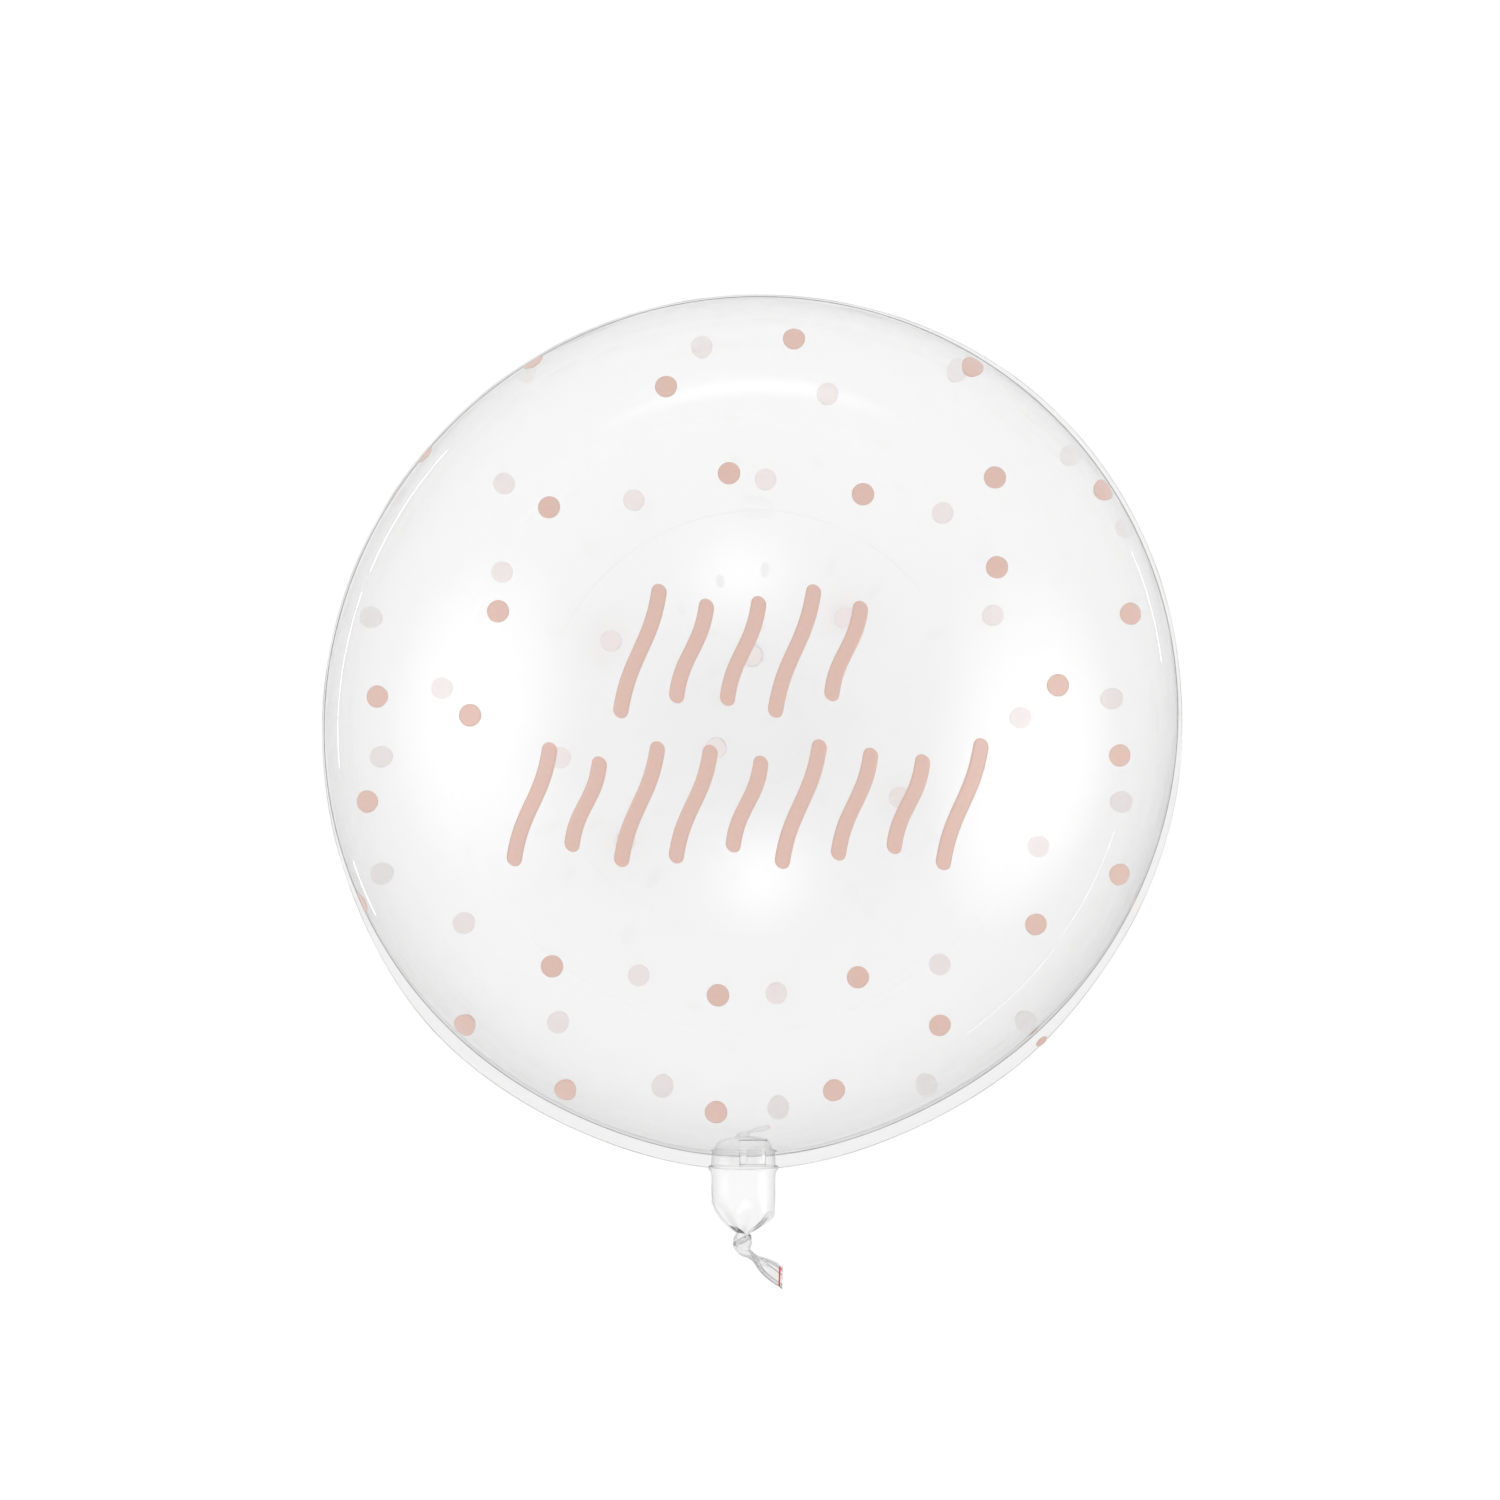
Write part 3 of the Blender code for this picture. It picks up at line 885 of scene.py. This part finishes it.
@dataclass
class Print:
    """The print: round dots on both sides, and two rows of plain slanted strokes on the front."""

    ball: Ball
    camera_distance: float
    dot_diameter: float = 0.0103
    most_stretch: float = 4.0
    most_reach: float = 0.998
    stroke_width: float = 0.0074
    stroke_slant: float = 17.0
    stroke_sway: float = 3.0
    stroke_rows: tuple[tuple[float, float, float, float, int], ...] = (
        (652.0, 640.0, 846.0, 140.0, 5),
        (805.0, 532.0, 962.0, 138.0, 9),
    )
    sliver_bearing: float = -47.7
    sliver_reach: float = 0.2029
    sliver_rise: float = 0.0006
    sliver_size: Pair = (6.4, 3.0)  # in mm
    ink: float = 0.00003
    gap: float = 0.00003
    grid: int = 13

    def directions(self, pixels: Array, side: Side) -> Array:
        """Directions from the ball's middle to where pixels of the photograph meet the film.

        A pixel is first a place in the level plane through the ball's middle. A point that stands h over that
        plane looks larger by distance / (distance - h), so the place is shrunk by that until it settles.

        Args:
            pixels: Pixels of the photograph, in an array whose last axis is 2.
            side: The front or the back of the ball.

        Returns:
            Unit vectors.
        """
        flat = (pixels - np.array(BALL_PIXEL)) * np.array([1.0, -1.0]) * MM_PER_PIXEL * MM
        plan = flat / self.ball.radius
        for _ in range(8):
            level = np.minimum((plan**2).sum(-1, keepdims=True), self.most_reach**2)
            radius = self.ball.reach(plan)[..., None]
            height = side.value * np.sqrt(1.0 - level) * radius
            plan = flat * (1.0 - height / self.camera_distance) / radius
            reach = np.sqrt((plan**2).sum(-1, keepdims=True))
            plan = plan * np.minimum(1.0, self.most_reach / np.maximum(reach, 1e-9))
        level = (plan**2).sum(-1, keepdims=True)
        return np.concatenate([plan, side.value * np.sqrt(1.0 - level)], axis=-1)

    def dots(self, pixels: Array, side: Side) -> Array:
        """Directions of the dots' sheets of points.

        A dot is a square grid drawn into a disc. It is stretched down the ball's slope by 1 / cos(slope),
        up to the most that the film stretches, so that it looks round from above.

        Args:
            pixels: The dots' middles in the photograph.
            side: The side of the ball that carries them.

        Returns:
            Unit vectors, as dots by rows by columns by 3.
        """
        middle = self.directions(pixels, side)[:, None, None]
        around = np.cross((0.0, 0.0, 1.0), middle)
        around /= np.linalg.norm(around, axis=-1, keepdims=True)
        stretch = np.minimum(1.0 / np.abs(middle[..., 2:]), self.most_stretch)
        u, v = (part[..., None] * self.dot_diameter / 2.0 / self.ball.radius for part in disc(self.grid))
        sheet = middle + around * u + np.cross(middle, around) * v * stretch
        return sheet / np.linalg.norm(sheet, axis=-1, keepdims=True)

    def lay(self, name: str, sheets: Array, ink: Material, under: Material) -> None:
        """Lays ink over a pale underprint on the film, as two thin closed plates.

        Args:
            name: The print's name.
            sheets: Directions of its sheets of points.
            ink: The colour that shows from outside.
            under: The pale layer that shows from inside.
        """
        low, middle, high, top = (self.ball.surface(sheets, self.gap + self.ink * k) for k in range(4))
        below = plates(name + "_underprint", low, middle, under)
        above = plates(name, high, top, ink)

    def skirt_dot(self, ink: Material) -> None:
        """The sliver of a dot that reaches the skirt's edge, right of the neck: an oval along the edge."""
        turn = math.radians(self.sliver_bearing)
        outward = np.array([math.cos(turn), math.sin(turn)])
        along = np.array([-math.sin(turn), math.cos(turn)])
        u, v = disc(self.grid)
        long, wide = (size * MM / 2.0 for size in self.sliver_size)
        plan = self.sliver_reach * outward + (u * long)[..., None] * along + (v * wide)[..., None] * outward
        low = self.ball.height + self.sliver_rise
        piece = plates("skirt_dot", at_level(plan[None], low), at_level(plan[None], low + self.ink), ink)

    def stroke_sheets(self) -> Array:
        """Directions of the strokes' sheets: two rows of slanted bars with round ends and a double bend.

        A stroke's middle line runs straight up its slant and sways to the side by sway * sin(pi s). Its half
        width is the full one, but for the round ends, where it follows a circle.

        Returns:
            Unit vectors, as strokes by rows by columns by 3.
        """
        slant = math.radians(self.stroke_slant)
        width = self.stroke_width / (MM_PER_PIXEL * MM)
        line = np.linspace(-1.0, 1.0, 33)
        along, across = np.meshgrid(np.sin(line * math.pi / 2.0), np.linspace(-1.0, 1.0, 7), indexing="ij")
        sheets = []
        for row, (middle, left, right, length, count) in enumerate(self.stroke_rows):
            for k in range(count):
                long = length * (0.86 + 0.14 * math.cos(2.2 * k + row)) / 2.0
                reach = along * long
                round_end = np.clip((np.abs(reach) - (long - width / 2.0)) / (width / 2.0), 0.0, 1.0)
                half = width / 2.0 * np.sqrt(1.0 - round_end**2)
                aside = self.stroke_sway * np.sin(math.pi * along) + across * half
                px = (
                    left + (right - left) * k / (count - 1)
                    + reach * math.sin(slant) + aside * math.cos(slant)
                )
                py = middle - reach * math.cos(slant) + aside * math.sin(slant)
                sheets.append(np.stack([px, py], axis=-1))
        return self.directions(np.array(sheets), Side.FRONT)

    def build(self, ink: Material, under: Material) -> None:
        """Prints the front's dots and strokes and the back's dots."""
        front = np.array(FRONT_DOTS, float)
        mirrored = BACK_MIRROR + (front - BACK_MIRROR) * (-BACK_SCALE, BACK_SCALE)
        back = np.concatenate([mirrored, BACK_OWN_DOTS])
        self.lay("front_dots", self.dots(front, Side.FRONT), ink, under)
        self.lay("back_dots", self.dots(back, Side.BACK), ink, under)
        self.lay("front_strokes", self.stroke_sheets(), ink, under)
        self.skirt_dot(ink)


# The corners of a square, in order.
CORNERS = ((-1, -1), (1, -1), (1, 1), (-1, 1))

# The strip lights: distance from the ball's axis and width in metres, then the bearings of both ends.
STRIPS = (
    (0.343, 0.0018, 138.0, 158.0),
    (0.341, 0.0018, 161.0, 186.0),
    (0.300, 0.0025, 199.0, 207.0),
    (0.338, 0.0018, 8.0, 24.0),
    (0.580, 0.0020, -17.0, -35.0),
    (0.560, 0.0020, -37.0, -55.0),
)

# The soft lights round the ball: name, middle, half of the size with 0 for the way that it faces, strength.
SOFTBOXES = (
    ("left_softbox", (-0.62, 0.02, 0.50), (0.0, 0.52, 0.44), 3.7),
    ("right_softbox", (0.62, -0.12, 0.46), (0.0, 0.58, 0.44), 4.3),
    ("far_softbox", (0.0, 0.75, 0.19), (0.45, 0.0, 0.07), 2.3),
)


@dataclass
class Studio:
    """A pale floor, soft light and a camera that looks straight down from far away."""

    ball: Ball
    lens: float = 300.0
    sensor: float = 36.0
    floor_size: float = 60.0
    floor_tint: str = "F5F5F5"
    film_faces: int = 32  # as many as a ray may cross on its way through neck, sleeve and ball, and back up
    fill: float = 1.15
    horizon: float = 1.04
    zenith: float = 1.08
    lobes: tuple[tuple[float, float, float, float, float], ...] = (
        (0.05, -0.66, 0.75, 40.0, 1.8),
        (0.10, 0.80, 0.60, 6.0, 0.22),
    )
    strip_strength: float = 6.0
    strip_rise: float = 0.004
    strip_points: int = 24

    @property
    def distance(self) -> float:
        """From the camera to the ball's middle, so that the frame is as wide as the photograph's."""
        return FRAME_WIDTH * self.lens / self.sensor

    def camera(self) -> None:
        """Sets up the camera over the photograph's middle, with the neck at the bottom of the picture."""
        data = bpy.data.cameras.new("camera")
        data.lens, data.sensor_width = self.lens, self.sensor
        data.clip_end = 100.0
        camera = bpy.data.objects.new("camera", data)
        right, down = (PHOTO_PIXELS / 2.0 - pixel for pixel in BALL_PIXEL)
        scale = MM_PER_PIXEL * MM
        camera.location = (right * scale, -down * scale, self.ball.height + self.distance)
        bpy.context.scene.collection.objects.link(camera)
        bpy.context.scene.camera = camera

    def floor(self) -> None:
        """Lays a plain pale floor."""
        half = self.floor_size / 2.0
        corners = [(half * u, half * v, 0.0) for u, v in CORNERS]
        values = {"Base Color": linear(self.floor_tint), "Roughness": 0.9, "Specular IOR Level": 0.0}
        staged("floor", corners, [(0, 1, 2, 3)], principled("pale_floor", values)[0])

    def softbox(self, name: str, middle: Array, half: Array, strength: float) -> None:
        """Stands up a soft light that only reflections show. It fades out from its middle to its edges.

        Its strength is that of the middle times (1 - u^2 - v^2)^2, where u and v go from -1 to 1 across it.

        Args:
            name: The light's name.
            middle: Its middle.
            half: Half its size along X, Y and Z, with 0 for the way that it faces.
            strength: Its strength in the middle.
        """
        across = np.eye(3)[[k for k in range(3) if half[k] > 0.0]] * half
        corners = [tuple(middle + u * across[0] + v * across[1]) for u, v in CORNERS]
        material, tree, mixed = self.glow(name, strength)
        place = node(tree, "TexCoord").outputs["Object"]
        off = node(tree, "VectorMath", {"operation": "SUBTRACT", 1: tuple(map(float, middle))}, in_0=place)
        shares = tuple(1.0 / float(size) if size > 0.0 else 0.0 for size in half)
        off = node(tree, "VectorMath", {"operation": "MULTIPLY", 1: shares}, in_0=off.outputs[0]).outputs[0]
        square = node(tree, "VectorMath", {"operation": "DOT_PRODUCT"}, in_0=off, in_1=off).outputs["Value"]
        left = maths(tree, "MAXIMUM", maths(tree, "SUBTRACT", 1.0, square))
        tree.links.new(maths(tree, "POWER", left, 2.0), mixed.inputs[0])
        self.lamp(name, corners, [(0, 1, 2, 3)], material)

    def strip(self, name: str, reach: float, width: float, start: float, end: float) -> None:
        """Lays a slim curved strip light just over the floor, round the ball's middle. It shows only as the
        thin bright arc that the film mirrors near the ball's rim.

        Args:
            name: The light's name.
            reach: Its distance from the axis through the ball's middle.
            width: Its width.
            start: The bearing of its one end.
            end: The bearing of its other end.
        """
        bearing = np.radians(np.linspace(start, end, self.strip_points))[:, None]
        radius = reach + width * np.array([-0.5, 0.5])
        rise = np.full((self.strip_points, 2), self.strip_rise)
        points = np.stack([radius * np.cos(bearing), radius * np.sin(bearing), rise], axis=-1).reshape(-1, 3)
        material, _, mixed = self.glow(name, self.strip_strength)
        mixed.inputs[0].default_value = 1.0
        self.lamp(name, points.tolist(), grid_faces(self.strip_points, 2, False, False).tolist(), material)

    def glow(self, name: str, strength: float) -> tuple[Material, Tree, Node]:
        """Makes a light's material, which goes from clear to glowing.

        Returns:
            The material, its tree, and the node whose first input is the share that glows.
        """
        material = bpy.data.materials.new(name + "_light")
        material.use_nodes = True
        material.cycles.emission_sampling = "NONE"
        tree = material.node_tree
        tree.nodes.clear()
        glow = node(tree, "Emission", {"Strength": strength})
        clear = node(tree, "BsdfTransparent")
        mixed = node(tree, "MixShader", {}, in_1=clear.outputs[0], in_2=glow.outputs[0])
        node(tree, "OutputMaterial", {}, Surface=mixed.outputs[0])
        return material, tree, mixed

    def lamp(self, name: str, points: list, faces: list, material: Material) -> None:
        """Puts a glowing surface on the stage, where only the film's reflections see it."""
        lamp = staged(name, points, faces, material)
        lamp.visible_camera = lamp.visible_diffuse = lamp.visible_transmission = lamp.visible_shadow = False

    def light(self) -> None:
        """Lights the scene by its world.

        Surfaces are lit by an even white fill. What the glossy film mirrors is a white horizon, a slightly
        brighter top and soft lobes that are brighter still, as a studio's ceiling and its lights would be.
        """
        world = bpy.data.worlds.new("studio")
        bpy.context.scene.world = world
        world.use_nodes = True
        tree = world.node_tree
        background = tree.nodes["Background"]
        sky = node(tree, "TexCoord").outputs["Generated"]
        height = node(tree, "SeparateXYZ", Vector=sky).outputs["Z"]
        total = node(
            tree, "MapRange", {"To Min": self.horizon, "To Max": self.zenith}, Value=height
        ).outputs[0]
        for x, y, z, power, strength in self.lobes:
            length = math.sqrt(x * x + y * y + z * z)
            facing = maths(tree, "MAXIMUM", dotted(tree, sky, (x / length, y / length, z / length)))
            lobe = maths(tree, "MULTIPLY", maths(tree, "POWER", facing, power), strength)
            total = maths(tree, "ADD", total, lobe)
        lit = maths(tree, "GREATER_THAN", node(tree, "LightPath").outputs["Diffuse Depth"], 0.5)
        strength = node(tree, "Mix", {"data_type": "FLOAT", 3: self.fill}, Factor=lit, in_2=total)
        tree.links.new(strength.outputs[0], background.inputs["Strength"])
        background.inputs["Color"].default_value = linear("FFFFFF")
        world.cycles.sampling_method = "NONE"

    def build(self) -> None:
        """Sets the stage: light and camera, a softbox at each side of the ball, a slim one behind it, and the
        slim strips by the floor."""
        self.camera()
        self.floor()
        self.light()
        for name, middle, half, strength in SOFTBOXES:
            self.softbox(name, np.array(middle), np.array(half), strength)
        for number, (reach, width, start, end) in enumerate(STRIPS):
            self.strip(f"floor_strip_{number}", reach, width, start, end)
        scene = bpy.context.scene
        scene.view_settings.view_transform = "Standard"
        scene.cycles.use_denoising = True
        scene.cycles.blur_glossy = 0.0
        scene.cycles.max_bounces = self.film_faces
        scene.cycles.transmission_bounces = self.film_faces


def main() -> None:
    """Builds the balloon's pieces in order and logs each of them."""
    logging.basicConfig(level=logging.INFO, format="%(name)s: %(message)s")
    ball = Ball()
    level = ball.height
    # The ball's film: all but invisible in its middle, with a painted grey shade that closes round its rim.
    film = ClearFilm(
        "clear_stretch_film", level, "FCFCFC", slow_shade_tint="F9F9F9", broad_shade_tint="F6F6F6", rim_shade_tint="2A2A2A"
    ).material()
    # The skirt's two pressed sheets: a plain pale grey band with a fine ripple in its gloss.
    doubled = ClearFilm("clear_doubled_film", level, "F0F0F0", wave_mm=4.0, wave_height_mm=0.04).material()
    # The neck's gathered film: clear, with painted shade that greys it edge-on and towards the knot.
    gathered = ClearFilm(
        "clear_gathered_film", level, "FBFBFB",
        slow_shade_tint="F3F3F3", slow_shade_bearing=-90.0, slow_shade_span=(0.236, 0.243),
        edge_shade_tint="A4A4A4", edge_power=2.6, wave_mm=5.0, wave_height_mm=0.06,
    ).material()
    # Film rolled up tight, dark grey as painted shade for its crease lines, and the sleeve, of which only the
    # gloss shows.
    folded = ClearFilm("painted_shade_fold_film", level, "A8A8A8", edge_shade_tint="505050", edge_power=1.6).material()
    sleeve = ClearFilm("clear_sleeve_film", level, "FFFFFF", edge_shade_tint="F4F4F4").material()
    # White plates over the sleeve, which are painted highlights, and the weld, which scatters light and reads
    # as a thin grey line.
    highlight_film = WeldAndHighlightFilm("painted_highlight_film", "FFFFFF", roughness=0.3, transmission=0.25).material()
    pressed = WeldAndHighlightFilm("pressed_weld_film", "B4B4B4", roughness=0.14, transmission=0.5).material()
    # The print's soft satin blush, the pale layer that shows from inside, and the red mark on the tail.
    blush = PrintedInk("blush_print_ink", "D2B2A7", "CAA99D").material()
    pale = PrintedInk("pale_underprint_ink", "F5ECEB", "F1E7E6", roughness=0.6).material()
    red = PrintedInk("red_mark_ink", "D81418", "C80E12", mottle_mm=0.6).material()
    ball.build(film)
    Weld(ball).build(doubled, pressed)
    Neck(ball).build(gathered, folded, sleeve, highlight_film, red)
    studio = Studio(ball)
    Print(ball, studio.distance).build(blush, pale)
    studio.build()


if __name__ == "__main__":
    main()
